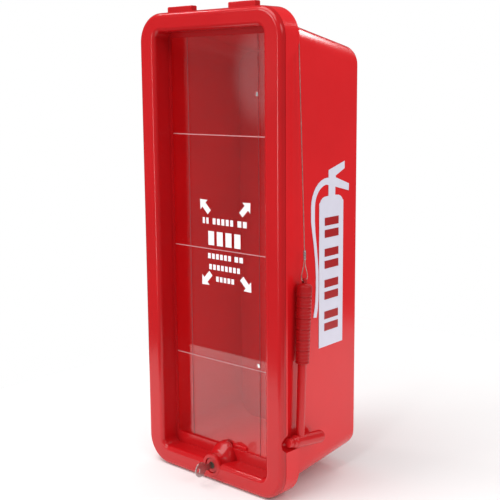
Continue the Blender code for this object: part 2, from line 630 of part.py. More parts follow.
def build_decal():
    """Thin vinyl pictogram of an extinguisher on the tub's right side, drawn in that side's plane: u runs
    back from the rim, v runs up."""
    rise = math.atan2(TUB_FRONT_X - TUB_BACK_X, DEPTH - RIM_BACK)
    left, right, low, shoulder = 0.0545, 0.1080, -0.1226, 0.0655
    neck, neck_low = (0.0745, 0.0893), 0.0735
    outline = [(left, low), (right, low), (right, shoulder)]
    outline += arc((right - 0.013, shoulder - 0.0055), 0.0130, 25, 80, 3)
    outline += [(neck[1], neck_low), (neck[1], 0.0840), (0.1203, 0.0765), (0.1208, 0.0856), (0.0902, 0.0958),
                (0.0902, 0.0980), (0.1103, 0.1061), (0.1103, 0.1156), (neck[0], 0.1061), (neck[0], 0.0965)]
    outline += arc((0.0715, 0.0620), 0.0346, 90, 180, 8)
    outline += [(0.0369, 0.0440), (0.0403, 0.0263), (0.0437, 0.0088), (0.0465, -0.0105), (0.0476, -0.0279),
                (0.0476, -0.0452), (0.0463, -0.0624), (0.0425, -0.0795), (0.0492, -0.0805), (0.0519, -0.0687),
                (0.0531, -0.0549), (0.0533, -0.0375), (0.0529, -0.0201), (0.0509, -0.0025), (0.0484, 0.0150),
                (0.0461, 0.0290), (0.0447, 0.0440)]
    outline += arc((0.0715, 0.0615), 0.0268, 180, 95, 7)
    outline += [(neck[0], 0.0872), (neck[0], neck_low)]
    outline += arc((left + 0.013, shoulder - 0.0055), 0.0130, 100, 155, 3) + [(left, shoulder)]
    thickness = 0.0004
    x_axis = Vector((-math.sin(rise), math.cos(rise), 0))
    normal = Vector((math.cos(rise), math.sin(rise), 0))
    origin = Vector((TUB_FRONT_X, deep(RIM_BACK), 0)) + normal * (GAP + thickness / 2)
    place = Matrix.Translation(origin) @ Matrix(((x_axis.x, 0, normal.x, 0), (x_axis.y, 0, normal.y, 0),
                                                 (0, 1, 0, 0), (0, 0, 0, 1)))
    flat_solid("side_decal", [outline], thickness, place, material=((0.85, 0.87, 0.92), 0.4))


clear_scene()
PARTS = new_collection("extinguisher_cabinet")
CUTTERS = new_collection("cutters")
SCREW_PLACES = [(side * 0.0980, z) for side in (-1, 1) for z in (-0.225, -0.075, 0.075, 0.225)]
WALL_HOLES = [(side * 0.070, z) for side in (-1, 1) for z in (-0.200, 0.200)]
RIVET_X = (0.0165, 0.0285)
RIVET_DEPTH = 0.0440
SOCKET = socket_tool()

build_body()
build_pins()
build_strike()
build_decal()

door_axis = pivot("door_axis", (0, deep(HINGE_DEPTH), HINGE_Z))
fixed_lock, turning_lock, key_pieces = build_lock()
hang(door_axis, build_door(), *build_panel(), *fixed_lock)
plug_axis = pivot("plug_axis", (0, deep(0.0), LOCK_Z))
hang(plug_axis, *turning_lock, *key_pieces)
tether_axis = pivot("tether_axis", (ANCHOR_X, deep(RIM_BACK), ANCHOR_Z))
hang(tether_axis, *build_tether())
build_hammer(pivot("hammer_axis", (HAMMER_X, deep(EYE_DEPTH), EYE_Z), tilt=-HAMMER_TILT))
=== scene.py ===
import json
import math

import bmesh
import bpy
from bpy.props import FloatProperty, FloatVectorProperty, IntProperty, PointerProperty
from mathutils import Matrix, Vector


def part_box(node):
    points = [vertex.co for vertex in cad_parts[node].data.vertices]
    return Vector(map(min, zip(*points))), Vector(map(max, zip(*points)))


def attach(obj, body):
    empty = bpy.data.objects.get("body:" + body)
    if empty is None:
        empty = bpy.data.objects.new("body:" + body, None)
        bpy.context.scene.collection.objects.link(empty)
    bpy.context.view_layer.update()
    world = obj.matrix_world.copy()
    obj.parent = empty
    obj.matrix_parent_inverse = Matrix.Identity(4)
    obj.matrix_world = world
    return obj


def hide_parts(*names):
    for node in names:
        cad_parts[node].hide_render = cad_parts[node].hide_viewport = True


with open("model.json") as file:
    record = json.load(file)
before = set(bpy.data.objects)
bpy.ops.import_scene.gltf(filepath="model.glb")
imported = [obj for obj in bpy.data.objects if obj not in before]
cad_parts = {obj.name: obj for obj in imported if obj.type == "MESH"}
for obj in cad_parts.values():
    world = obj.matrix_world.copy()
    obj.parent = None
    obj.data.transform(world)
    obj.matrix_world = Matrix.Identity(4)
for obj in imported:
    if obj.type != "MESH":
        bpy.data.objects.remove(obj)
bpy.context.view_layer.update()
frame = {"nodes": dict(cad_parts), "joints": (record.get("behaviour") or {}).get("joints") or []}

bl_info = {
    "name": "Extinguisher Wall Cabinet",
    "version": (1, 0, 0),
    "blender": (4, 5, 0),
    "location": "View3D > Sidebar > Cabinet",
    "description": "Moulded wall cabinet with a break panel, cam lock and tethered breaker hammer",
    "category": "Add Mesh",
}

DOOR_LOW, DOOR_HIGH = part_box("door_frame")
BODY_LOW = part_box("cabinet_body")[0]
PANE_LOW, PANE_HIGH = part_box("break_panel")
JOINTS = {joint["name"]: joint for joint in frame["joints"]}
HINGE = Vector(JOINTS["door_hinge"]["pos_m"])
LOCK = Vector(JOINTS["lock_turn"]["pos_m"])
EYE = Vector(JOINTS["hammer_swing"]["pos_m"])
FRONT = LOCK.y           # the lip's flat face; only the lock's collar stands proud of it
LIP_TOP = -DOOR_LOW.z
OPENING_HALF = 0.094     # half width of the door's opening, in front of the ledge
WINDOW_HALF = 0.0905     # half width of the clear window, behind the ledge
SEAT_HALF = 0.1065       # half width of the panel's seat
RIM_BACK = 0.0336        # depth of the rim's back face behind the front
TUB_HALF = 0.1128        # half width of the tub where it leaves the rim
TUB_BACK_HALF = 0.1055   # half width of the tub at the wall
LUG_CENTRE = 0.0534      # distance of each hinge lug from the middle
NOSE_RISE = 0.0018       # socket's height over the hammer's head axis


class CabinetSettings(bpy.types.PropertyGroup):
    red: FloatVectorProperty(name="Red", description="Colour of the moulded plastic", subtype="COLOR", size=3,
                             min=0.0, max=1.0, default=(0.50, 0.007, 0.010))
    gloss: FloatProperty(name="Roughness", description="Roughness of the moulded plastic", subtype="FACTOR",
                         min=0.0, max=1.0, default=0.17)
    corner: FloatProperty(name="Corner radius", description="Outer corner radius of the door and rim",
                          unit="LENGTH", default=0.037)
    lip: FloatProperty(name="Lip thickness", description="Thickness of the door's lip", unit="LENGTH",
                       default=0.008)
    front_round: FloatProperty(name="Front rounding", description="Rounding of the lip's front outer edge",
                               unit="LENGTH", default=0.0065)
    reveal: FloatProperty(name="Reveal depth", description="Depth of the panel's ledge behind the front",
                          unit="LENGTH", default=0.0265)
    wall: FloatProperty(name="Wall", description="Moulded wall thickness", unit="LENGTH", default=0.0025)
    arc_steps: IntProperty(name="Corner steps", description="Faces round each outer corner", default=16)


class PanelSettings(bpy.types.PropertyGroup):
    groove: FloatProperty(name="Score width", description="Width of a scored break line", unit="LENGTH",
                          default=0.0013)
    groove_depth: FloatProperty(name="Score depth", description="Depth of a scored break line", unit="LENGTH",
                                default=0.0008)
    ink: FloatVectorProperty(name="Ink", description="Colour of the printed marks", subtype="COLOR", size=3,
                             min=0.0, max=1.0, default=(0.90, 0.90, 0.92))


class HammerSettings(bpy.types.PropertyGroup):
    tilt: FloatProperty(name="Lean", description="How far the hammer leans forward", subtype="ANGLE",
                        default=math.radians(2.3))
    pitch: FloatProperty(name="Head pitch", description="Nose up from square to the shaft", subtype="ANGLE",
                         default=math.radians(5.2))
    head_drop: FloatProperty(name="Head drop", description="Eye to head axis", unit="LENGTH", default=0.203)
    wire: FloatProperty(name="Wire", description="Diameter of the tether wire", unit="LENGTH", default=0.0012)


class StageSettings(bpy.types.PropertyGroup):
    lens: FloatProperty(name="Lens", description="Focal length in millimetres", default=69.74)
    azimuth: FloatProperty(name="Azimuth", description="Camera's turn about the cabinet", subtype="ANGLE",
                           default=math.radians(42.318))
    elevation: FloatProperty(name="Elevation", description="Camera's angle above level", subtype="ANGLE",
                             default=math.radians(9.704))
    roll: FloatProperty(name="Roll", description="Camera's turn about its own axis", subtype="ANGLE",
                        default=math.radians(-0.451))


# Modelling helpers

def begin():
    if bpy.context.mode != "OBJECT":
        bpy.ops.object.mode_set(mode="OBJECT")
    bpy.ops.object.select_all(action="DESELECT")


def choose(piece):
    begin()
    piece.select_set(True)
    bpy.context.view_layer.objects.active = piece


def settle(piece, name):
    """Name the piece and put its place into its mesh."""
    piece.name = piece.data.name = name
    choose(piece)
    bpy.ops.object.transform_apply(location=True, rotation=True, scale=True)
    return piece


def edit(piece):
    choose(piece)
    bpy.ops.object.mode_set(mode="EDIT")


def leave():
    bpy.ops.object.mode_set(mode="OBJECT")


def pick(piece, kind, test):
    """Select the vertices, edges or faces that pass a test."""
    bpy.ops.mesh.select_mode(type=kind)
    bpy.ops.mesh.select_all(action="DESELECT")
    cage = bmesh.from_edit_mesh(piece.data)
    cage.normal_update()
    found = 0
    for item in {"VERT": cage.verts, "EDGE": cage.edges, "FACE": cage.faces}[kind]:
        if test(item):
            item.select_set(True)
            found += 1
    cage.select_flush_mode()
    bmesh.update_edit_mesh(piece.data)
    if not found:
        raise RuntimeError(f"nothing to select on {piece.name}")
    return found


def shift(piece, test, by):
    pick(piece, "VERT", test)
    bpy.ops.transform.translate(value=by)


def extrude(by):
    bpy.ops.mesh.extrude_region_move(TRANSFORM_OT_translate={"value": by})


def resize(value, centre):
    bpy.ops.transform.resize(value=value, center_override=centre)


def add_box(name, low, high):
    begin()
    bpy.ops.mesh.primitive_cube_add(size=1.0, location=[(a + b) / 2 for a, b in zip(low, high)])
    piece = bpy.context.object
    piece.scale = [b - a for a, b in zip(low, high)]
    return settle(piece, name)


def add_bar(name, radius, start, end, steps=32):
    """Round bar between two points."""
    start, end = Vector(start), Vector(end)
    begin()
    bpy.ops.mesh.primitive_cylinder_add(vertices=steps, radius=radius, depth=(end - start).length,
                                        location=(start + end) / 2,
                                        rotation=(end - start).to_track_quat("Z", "Y").to_euler())
    return settle(bpy.context.object, name)


def lathe(name, rings, origin, direction, steps=40):
    """Raise a disc ring by ring: (radius, distance along direction)."""
    begin()
    bpy.ops.mesh.primitive_circle_add(vertices=steps, radius=rings[0][0], fill_type="NGON",
                                      location=(0, 0, rings[0][1]))
    piece = settle(bpy.context.object, name)
    edit(piece)
    bpy.ops.mesh.select_all(action="SELECT")
    for (radius, along), (wider, further) in zip(rings, rings[1:]):
        extrude((0, 0, further - along))
        resize((wider / radius, wider / radius, 1), (0, 0, further))
    bpy.ops.mesh.select_all(action="SELECT")
    bpy.ops.mesh.normals_make_consistent(inside=False)
    leave()
    piece.rotation_euler = Vector((0, 0, 1)).rotation_difference(Vector(direction)).to_euler()
    piece.location = origin
    return settle(piece, name)


def add_plate(name, outline, thickness, place):
    """Flat plate: a filled ring of points moved to its outline, then extruded and set in place."""
    begin()
    bpy.ops.mesh.primitive_circle_add(vertices=len(outline), radius=1.0, fill_type="NGON")
    piece = settle(bpy.context.object, name)
    for vert, (u, v) in zip(piece.data.vertices, outline):
        vert.co = (u, v, 0.0)
    edit(piece)
    bpy.ops.mesh.select_all(action="SELECT")
    extrude((0, 0, thickness))
    bpy.ops.mesh.select_all(action="SELECT")
    bpy.ops.mesh.normals_make_consistent(inside=False)
    leave()
    piece.matrix_world = place
    return settle(piece, name)


def join(pieces, name):
    begin()
    for piece in pieces:
        piece.select_set(True)
    bpy.context.view_layer.objects.active = pieces[0]
    bpy.ops.object.join()
    return settle(pieces[0], name)


def combine(piece, tool, operation):
    """Apply one Boolean and remove its tool."""
    choose(piece)
    change = piece.modifiers.new(tool.name, "BOOLEAN")
    change.operation, change.solver, change.object = operation, "EXACT", tool
    bpy.ops.object.modifier_apply(modifier=change.name)
    bpy.data.objects.remove(tool, do_unlink=True)


def ease_edges(piece, width, segments=2, angle=38.0):
    """Soften the sharp edges that are left."""
    choose(piece)
    change = piece.modifiers.new("Eased", "BEVEL")
    change.width, change.segments, change.limit_method = width, segments, "ANGLE"
    change.angle_limit = math.radians(angle)
    change.use_clamp_overlap = True
    change.miter_outer = "MITER_ARC"
    bpy.ops.object.modifier_apply(modifier=change.name)


def clean(piece, distance=0.00002):
    edit(piece)
    bpy.ops.mesh.select_all(action="SELECT")
    bpy.ops.mesh.remove_doubles(threshold=distance)
    bpy.ops.mesh.dissolve_limited(angle_limit=math.radians(0.4))
    leave()


def smooth(piece, angle=32.0):
    """Smooth shading that keeps the broad flat faces flat."""
    choose(piece)
    bpy.ops.object.shade_smooth_by_angle(angle=math.radians(angle))
    change = piece.modifiers.new("Flat faces", "WEIGHTED_NORMAL")
    change.keep_sharp = True
    change.weight = 100
    bpy.ops.object.modifier_apply(modifier=change.name)


def dress(piece, material, body, slot, *nodes):
    """Give the piece its finish and its body, and hide the CAD nodes it stands for; the slot argument is not
    used.
    """
    piece.data.materials.clear()
    piece.data.materials.append(material)
    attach(piece, body)
    if nodes:
        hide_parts(*nodes)
    return piece


def soft_copy(node, name, width, segments=2):
    """Merged copy of a CAD node with eased edges."""
    source = frame["nodes"][node]
    piece = bpy.data.objects.new(name, source.data.copy())
    bpy.context.scene.collection.objects.link(piece)
    settle(piece, name)
    edit(piece)
    bpy.ops.mesh.select_all(action="SELECT")
    bpy.ops.mesh.remove_doubles(threshold=0.00001)
    bpy.ops.mesh.dissolve_limited(angle_limit=math.radians(0.8))
    leave()
    ease_edges(piece, width, segments)
    smooth(piece)
    return piece


# Finishes

class Finish:
    """A new material's node tree with short calls for its nodes."""

    def __init__(self, name):
        self.material = bpy.data.materials.new(name)
        self.material.use_nodes = True
        self.tree = self.material.node_tree
        self.shader = self.tree.nodes["Principled BSDF"]
        self.place = self.node("ShaderNodeTexCoord").outputs["Object"]

    def node(self, kind, **values):
        made = self.tree.nodes.new(kind)
        for key, value in values.items():
            setattr(made, key, value)
        return made

    def link(self, source, target):
        self.tree.links.new(source, target)

    def noise(self, scale, detail=3.0, stretch=None):
        made = self.node("ShaderNodeTexNoise")
        made.inputs["Scale"].default_value = scale
        made.inputs["Detail"].default_value = detail
        source = self.place
        if stretch:
            mapping = self.node("ShaderNodeMapping")
            mapping.inputs["Scale"].default_value = stretch
            self.link(source, mapping.inputs["Vector"])
            source = mapping.outputs["Vector"]
        self.link(source, made.inputs["Vector"])
        return made.outputs["Fac"]

    def ramp(self, source, low, high, start=0.3, end=0.7):
        made = self.node("ShaderNodeMapRange")
        for key, value in (("From Min", start), ("From Max", end), ("To Min", low), ("To Max", high)):
            made.inputs[key].default_value = value
        self.link(source, made.inputs["Value"])
        return made.outputs["Result"]

    def tint(self, source, low, high):
        made = self.node("ShaderNodeMix", data_type="RGBA")
        made.inputs[6].default_value = (*low, 1.0)
        made.inputs[7].default_value = (*high, 1.0)
        self.link(source, made.inputs["Factor"])
        self.link(made.outputs[2], self.shader.inputs["Base Color"])

    def bump(self, *layers):
        """Layers of (height, strength, distance), each on top of the last."""
        normal = None
        for height, strength, distance in layers:
            made = self.node("ShaderNodeBump")
            made.inputs["Strength"].default_value = strength
            made.inputs["Distance"].default_value = distance
            self.link(height, made.inputs["Height"])
            if normal:
                self.link(normal, made.inputs["Normal"])
            normal = made.outputs["Normal"]
        self.link(normal, self.shader.inputs["Normal"])


def moulded_plastic(name, colour, roughness, wave=0.10, grain=0.06, ior=1.5):
    """Glossy moulded plastic: slow waves from the mould, fine grain, faint scuffs and a slight mottle."""
    finish = Finish(name)
    mottle = finish.noise(9.0, 4.0)
    finish.tint(finish.ramp(mottle, 0.0, 1.0), [c * 0.95 for c in colour], [min(1.0, c * 1.05) for c in colour])
    scuffs = finish.noise(60.0, 6.0, stretch=(1.0, 1.0, 0.25))
    finish.link(finish.ramp(scuffs, roughness * 0.90, roughness * 1.12), finish.shader.inputs["Roughness"])
    finish.shader.inputs["IOR"].default_value = ior
    finish.bump((finish.noise(7.0, 1.0), wave, 0.002), (finish.noise(420.0, 2.0), grain, 0.0002))
    return finish.material


def plated_steel(name, colour, roughness, stretch=(1.0, 1.0, 12.0)):
    """Plated steel with drawn grain and small tarnish patches."""
    finish = Finish(name)
    finish.tint(finish.ramp(finish.noise(220.0, 3.0), 0.0, 1.0), [c * 0.72 for c in colour], colour)
    grain = finish.noise(500.0, 4.0, stretch=stretch)
    finish.link(finish.ramp(grain, roughness * 0.7, roughness * 1.5), finish.shader.inputs["Roughness"])
    finish.shader.inputs["Metallic"].default_value = 1.0
    finish.bump((grain, 0.15, 0.0001))
    return finish.material


def clear_sheet(name):
    """Clear plastic sheet that lets lamps through, with faint handling haze."""
    finish = Finish(name)
    shader = finish.shader
    shader.inputs["Base Color"].default_value = (0.985, 0.99, 0.99, 1.0)
    shader.inputs["Transmission Weight"].default_value = 1.0
    shader.inputs["IOR"].default_value = 1.50
    haze = finish.noise(14.0, 4.0)
    finish.link(finish.ramp(haze, 0.0, 0.03), shader.inputs["Roughness"])
    finish.bump((finish.noise(5.0, 1.0), 0.06, 0.002))
    rays = finish.node("ShaderNodeLightPath")
    either = finish.node("ShaderNodeMath", operation="MAXIMUM")
    finish.link(rays.outputs["Is Shadow Ray"], either.inputs[0])
    finish.link(rays.outputs["Is Diffuse Ray"], either.inputs[1])
    through = finish.node("ShaderNodeBsdfTransparent")
    through.inputs["Color"].default_value = (0.98, 0.98, 0.98, 1.0)
    mix = finish.node("ShaderNodeMixShader")
    finish.link(either.outputs["Value"], mix.inputs["Fac"])
    finish.link(shader.outputs["BSDF"], mix.inputs[1])
    finish.link(through.outputs["BSDF"], mix.inputs[2])
    finish.link(mix.outputs["Shader"], finish.tree.nodes["Material Output"].inputs["Surface"])
    return finish.material


def scored_plastic(name, colour, cover):
    """Plastic where the sheet is scored, whitened and tinted with a painted red for the red seen through it;
    the panel uses a pale copy as painted light and a dark red copy as painted shade.
    """
    finish = Finish(name)
    finish.tint(finish.ramp(finish.noise(90.0, 3.0), 0.0, 1.0), [c * 0.85 for c in colour], colour)
    finish.link(finish.ramp(finish.noise(300.0, 3.0), 0.4, 0.6), finish.shader.inputs["Roughness"])
    finish.bump((finish.noise(900.0, 2.0), 0.3, 0.0002))
    finish.shader.inputs["Alpha"].default_value = cover
    return finish.material


def vinyl(name, colour, roughness=0.35):
    """Printed film or ink with a little unevenness."""
    finish = Finish(name)
    finish.tint(finish.ramp(finish.noise(45.0, 3.0), 0.0, 1.0), [c * 0.96 for c in colour], colour)
    finish.link(finish.ramp(finish.noise(160.0, 3.0), roughness * 0.85, roughness * 1.2),
                finish.shader.inputs["Roughness"])
    finish.bump((finish.noise(600.0, 2.0), 0.05, 0.0001))
    return finish.material


FINISHES = {}


def finish_of(kind):
    """The finishes in use, made once each."""
    if kind not in FINISHES:
        cabinet = bpy.context.scene.cabinet_settings
        red = tuple(cabinet.red)
        FINISHES[kind] = {
            # Door and body are one red plastic in two copies. The body's copy is painted 1.52 times lighter, as
            # painted light for the inside seen through the panel and for the side wall. The door's copy is kept
            # darker, as painted shade against the lamps on its front.
            "door": lambda: moulded_plastic("door_red_painted_darker", red, cabinet.gloss),
            "body": lambda: moulded_plastic("body_red_painted_lighter", [c * 1.52 for c in red], cabinet.gloss * 1.05),
            "hammer": lambda: moulded_plastic("hammer_red_plastic", [c * 1.15 for c in red], 0.24, wave=0.03),
            "grip": lambda: moulded_plastic("grip_red_plastic", [c * 0.88 for c in red], 0.34, wave=0.03,
                                            grain=0.12, ior=1.36),
            "lock": lambda: moulded_plastic("lock_red_enamel", [c * 0.85 for c in red], 0.25, wave=0.02),
            "steel": lambda: plated_steel("plated_steel", (0.62, 0.61, 0.60), 0.26),
            # The wire is steel tinted warm pink, a painted reflection of the red cabinet beside it.
            "wire": lambda: plated_steel("wire_steel_painted_pink", (0.95, 0.78, 0.72), 0.46, (1.0, 1.0, 1.0)),
            "crimp": lambda: plated_steel("crimp_aluminium", (0.78, 0.78, 0.78), 0.38),
            # The lock core is painted nearly black, as painted shade for the dark keyway and the key's shadow
            # on it.
            "core": lambda: plated_steel("lock_core_painted_shade", (0.15, 0.13, 0.10), 0.40),
            "clear": lambda: clear_sheet("clear_break_sheet"),
            # Two copies of one scored line: a pale one, whitened plastic with painted light, for the horizontal
            # lines, and a dark red one, painted shade, for the vertical lines.
            "scored": lambda: scored_plastic("score_line_painted_pale", (0.84, 0.40, 0.42), 0.80),
            "shaded_score": lambda: scored_plastic("score_line_painted_dark", (0.56, 0.075, 0.085), 0.70),
            "ink": lambda: vinyl("printed_ink", tuple(bpy.context.scene.panel_settings.ink)),
            "film": lambda: vinyl("white_vinyl_film", (0.80, 0.78, 0.90)),
            "film_red": lambda: vinyl("red_vinyl_film", [c * 0.9 for c in red]),
        }[kind]()
    return FINISHES[kind]


# Door

def outer_loop(edge, y):
    """True for an edge round the outside at this depth."""
    if any(abs(v.co.y - y) > 1e-5 for v in edge.verts) or len(edge.link_faces) != 2:
        return False
    across = [abs(f.normal.y) for f in edge.link_faces]
    x, z = [abs(sum(v.co[i] for v in edge.verts)) / 2 for i in (0, 2)]
    return max(across) > 0.9 and min(across) < 0.3 and (x > 0.105 or z > 0.2875)


def rounded_slab(name, y, corner, steps):
    """The door's outline as a slab between two depths, its corners rounded."""
    piece = add_box(name, (DOOR_LOW.x, y[0], -LIP_TOP), (DOOR_HIGH.x, y[1], LIP_TOP))
    edit(piece)
    pick(piece, "EDGE", lambda e: abs(e.verts[0].co.y - e.verts[1].co.y) > 1e-4)
    bpy.ops.mesh.bevel(offset=corner, segments=steps, affect="EDGES")
    return piece


def facing(y, towards):
    """Test for the flat face at a depth that looks forward (-1) or back (+1)."""
    return lambda f: f.normal.y * towards > 0.9 and all(abs(v.co.y - y) < 1e-5 for v in f.verts)


def inset_to(piece, y, towards, thickness, top, low):
    """Inset the flat face at this depth, then move the new face's top and bottom edges to given heights."""
    pick(piece, "FACE", facing(y, towards))
    bpy.ops.mesh.inset(thickness=thickness, depth=0.0, use_even_offset=True)
    cage = bmesh.from_edit_mesh(piece.data)
    face = next(f for f in cage.faces if f.select)
    spot = face.calc_center_median()
    high_now, low_now = max(v.co.z for v in face.verts), min(v.co.z for v in face.verts)
    for vert in face.verts:
        vert.co.z += top - high_now if vert.co.z > spot.z else low - low_now
    bmesh.update_edit_mesh(piece.data)


def fit_face(piece, half, top, low):
    """Stretch the selected face to a half width and to a top and bottom height."""
    cage = bmesh.from_edit_mesh(piece.data)
    face = next(f for f in cage.faces if f.select)
    wide = max(abs(v.co.x) for v in face.verts)
    high_now, low_now = max(v.co.z for v in face.verts), min(v.co.z for v in face.verts)
    for vert in face.verts:
        vert.co.x *= half / wide
        vert.co.z = low + (vert.co.z - low_now) * (top - low) / (high_now - low_now)
    bmesh.update_edit_mesh(piece.data)


def door_shell(cabinet):
    """Lip, reveal, seat and window in one closed shell, then the boss, lugs, socket and cored back."""
    wall, reveal, lip = cabinet.wall, cabinet.reveal, cabinet.lip
    opening, window = (0.281, -0.2795), (0.2745, -0.264)
    piece = rounded_slab("door_shell", (FRONT, FRONT + lip), cabinet.corner, cabinet.arc_steps)
    inset_to(piece, FRONT, -1, DOOR_HIGH.x - OPENING_HALF, *opening)
    extrude((0, reveal, 0))
    inset_to(piece, FRONT + reveal, -1, 0.0035, *window)
    bpy.ops.mesh.delete(type="FACE")
    back = FRONT + lip
    inset_to(piece, back, 1, DOOR_HIGH.x - OPENING_HALF - wall, opening[0] + wall, opening[1] - wall)
    extrude((0, reveal - lip, 0))
    extrude((0, 0, 0))
    seat_middle, seat_half = -0.0025, 0.2890
    resize((SEAT_HALF / (OPENING_HALF + wall), 1, seat_half / (0.5 * (opening[0] - opening[1]) + wall)),
           (0, FRONT + reveal, (opening[0] + opening[1]) / 2))
    bpy.ops.transform.translate(value=(0, 0, seat_middle - (opening[0] + opening[1]) / 2))
    extrude((0, wall, 0))
    inset_to(piece, FRONT + reveal + wall, 1, 0.004, seat_middle + seat_half - 0.004,
             seat_middle - seat_half + 0.004)
    bpy.ops.mesh.inset(thickness=0.004, depth=0.0, use_even_offset=True)
    fit_face(piece, WINDOW_HALF, *window)
    bpy.ops.mesh.delete(type="FACE")
    pick(piece, "EDGE", lambda e: len(e.link_faces) == 1)
    bpy.ops.mesh.bridge_edge_loops()
    bpy.ops.mesh.select_all(action="SELECT")
    bpy.ops.mesh.normals_make_consistent(inside=False)
    pick(piece, "EDGE", lambda e: outer_loop(e, FRONT))
    bpy.ops.mesh.bevel(offset=cabinet.front_round, segments=6, affect="EDGES")
    pick(piece, "EDGE", lambda e: all(abs(v.co.y - FRONT) < 1e-5 for v in e.verts) and len(e.link_faces) == 2
         and min(abs(f.normal.y) for f in e.link_faces) < 0.3
         and max(abs(f.normal.y) for f in e.link_faces) > 0.9)
    bpy.ops.mesh.bevel(offset=0.0062, segments=6, affect="EDGES")
    leave()
    add_lock_boss(piece, reveal + wall)
    for side in (-1, 1):
        add_hinge_lug(piece, side)
    combine(piece, nose_socket(), "DIFFERENCE")
    core = OPENING_HALF + wall + 0.0035, DOOR_HIGH.x - 0.0065
    for x, z in (((core[0], core[1]), (-0.190, 0.250)), ((-core[1], -core[0]), (-0.250, 0.250)),
                 ((-0.030, 0.030), (0.2865, 0.2985)), ((0.022, 0.080), (-0.2985, -0.2865)),
                 ((-0.080, -0.022), (-0.2985, -0.2865))):
        combine(piece, add_box("core", (x[0], FRONT + 0.0032, z[0]), (x[1], back + 0.002, z[1])), "DIFFERENCE")
    clean(piece)
    ease_edges(piece, 0.0006)
    smooth(piece)
    return piece


def add_lock_boss(piece, depth):
    """Drafted boss that carries the lock: a rounded collar, a waist and a flare to the panel's seat."""
    x, z = LOCK.x, LOCK.z
    collar, foot, side = 0.0155, 0.0265, 0.0215
    rings = [(collar - 0.0024, -0.0006), (collar - 0.0010, -0.0004), (collar - 0.0002, 0.0004),
             (collar, 0.0014), (collar, 0.0040), (collar - 0.0006, 0.0054), (collar - 0.0004, 0.0068)]
    rings += [(collar + (foot - collar) * (1 - math.cos(math.pi * share)) / 2, 0.0075 + 0.0180 * share)
              for share in (0.1, 0.25, 0.4, 0.55, 0.7, 0.85, 1.0)]
    boss = lathe("boss", rings + [(foot, depth)], (x, FRONT, z), (0, 1, 0), steps=56)
    for vert in boss.data.vertices:
        share = (math.hypot(vert.co.x - x, vert.co.z - z) - collar) / (foot - collar)
        vert.co.x = x + (vert.co.x - x) * (1 - (1 - side / foot) * max(0.0, share))
    combine(boss, add_box("trim", (-0.05, FRONT + 0.0079, -0.34), (0.05, FRONT + 0.04, -0.2915)), "DIFFERENCE")
    combine(piece, boss, "UNION")
    combine(piece, add_bar("seat", 0.0106, (x, FRONT - 0.01, z), (x, FRONT + 0.0022, z), 48), "DIFFERENCE")
    combine(piece, add_bar("bore", 0.0074, (x, FRONT - 0.01, z), (x, FRONT + 0.04, z), 48), "DIFFERENCE")


def add_hinge_lug(piece, side):
    """Hooded lug over the rim's knuckle."""
    centre, half, front = side * LUG_CENTRE, 0.0219, FRONT + 0.0090
    lug = add_box("lug", (centre - half, front, HINGE.z - 0.004), (centre + half, FRONT + 0.0180, DOOR_HIGH.z))
    edit(lug)
    pick(lug, "EDGE", lambda e: all(v.co.z > HINGE.z for v in e.verts))
    bpy.ops.mesh.bevel(offset=0.0014, segments=3, affect="EDGES")
    leave()
    combine(lug, add_box("under", (-0.2, HINGE.y, HINGE.z - 0.01), (0.2, FRONT + 0.03, HINGE.z)), "DIFFERENCE")
    combine(lug, add_bar("cheek", 0.004, (centre - half, HINGE.y, HINGE.z), (centre + half, HINGE.y, HINGE.z)),
            "UNION")
    combine(lug, add_box("root", (centre - half, FRONT + 0.006, HINGE.z - 0.0062),
                         (centre + half, front + 0.0008, HINGE.z + 0.0002)), "UNION")
    combine(piece, lug, "UNION")
    combine(piece, add_box("slot", (centre - 0.0145, front + 0.001, HINGE.z - 0.010),
                           (centre + 0.0145, FRONT + 0.03, HINGE.z + 0.0046)), "DIFFERENCE")
    combine(piece, add_bar("pin_hole", 0.0018, (centre - 0.03, HINGE.y, HINGE.z),
                           (centre + 0.03, HINGE.y, HINGE.z), 24), "DIFFERENCE")


def nose_socket():
    """Round-ended socket for the hammer's nose."""
    radius = 0.0112
    rings = [(radius * math.cos(math.radians(a)), 0.0125 - radius * math.sin(math.radians(a)))
             for a in range(88, -1, -8)]
    drop = bpy.context.scene.hammer_settings.head_drop
    mouth = (EYE.x + 0.0002, FRONT, EYE.z - drop + NOSE_RISE)
    return lathe("socket", rings + [(radius, 0.0348)], mouth, (0, 1, 0), steps=56)


class CABINET_OT_door(bpy.types.Operator):
    """Door: lip, reveal, panel seat, lock boss and hinge lugs"""
    bl_idname = "cabinet.door"
    bl_label = "Door"

    def execute(self, context):
        piece = door_shell(context.scene.cabinet_settings)
        dress(piece, finish_of("door"), "door", "red_plastic", "door_frame")
        return {"FINISHED"}


# Cabinet body

